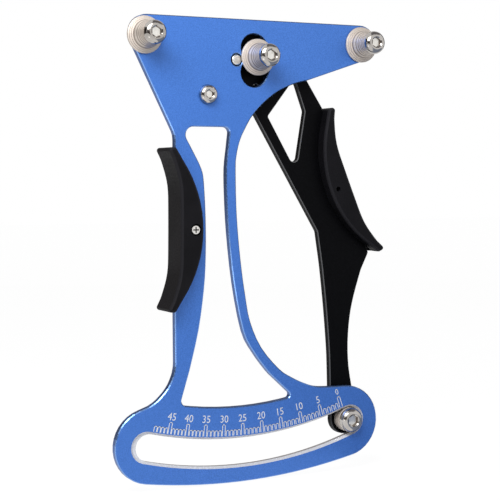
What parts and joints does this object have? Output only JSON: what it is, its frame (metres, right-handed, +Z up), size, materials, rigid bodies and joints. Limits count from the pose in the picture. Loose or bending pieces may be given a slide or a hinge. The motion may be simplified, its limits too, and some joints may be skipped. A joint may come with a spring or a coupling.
{
  "type": "spoke tension meter",
  "caption": "Hand-squeezed spoke tension meter: flat frame with fixed posts, a sprung arm with a moving post, rubber grips and a pointer in a curved scale slot.",
  "frame": {"origin": "seat of the spoke: midway between the axes of the two fixed posts, on the spoke's line, at the level of the posts' necks", "axes": "+X along the spoke towards the pointer's rest side, +Z up from the scale towards the posts, -Y out of the front face towards the user"},
  "size_m": [0.1178, 0.0325, 0.181],
  "materials": {
    "blue_anodised": "bead-blasted blue anodised",
    "black_anodised": "satin black anodised",
    "grip_rubber": "matt moulded",
    "polished_steel": "polished",
    "spring_steel": "drawn wire, plain",
    "black_polymer": "moulded, plain"
  },
  "bodies": {
    "frame": {"frame_plate": "blue_anodised", "left_grip": "grip_rubber", "left_grip_screw": "polished_steel", "left_post_sleeve": "polished_steel", "left_post_screw": "polished_steel", "right_post_sleeve": "polished_steel", "right_post_screw": "polished_steel", "pivot_pin": "polished_steel", "pivot_clip": "spring_steel", "spring_spool": "black_polymer", "torsion_spring": "spring_steel", "anchor_screw": "polished_steel", "anchor_standoff": "polished_steel"},
    "arm": {"pointer_arm": "black_anodised", "pivot_bush": "black_polymer", "right_grip": "grip_rubber", "right_grip_screw": "polished_steel", "moving_post_sleeve": "polished_steel", "moving_post_screw": "polished_steel", "pointer_sleeve": "polished_steel", "pointer_washer": "polished_steel", "pointer_screw": "polished_steel", "spring_pin": "polished_steel"}
  },
  "joints": [
    {"name": "arm_hinge", "type": "hinge", "parent": "frame", "child": "arm", "pos_m": [-0.0084, 0.0076, -0.0079], "axis": [0, 1, 0], "range_deg": [0, 33.5], "stiffness_Nm_per_rad": 0.36, "springref_deg": -20.05, "deforming": ["torsion_spring"]}
  ]
}
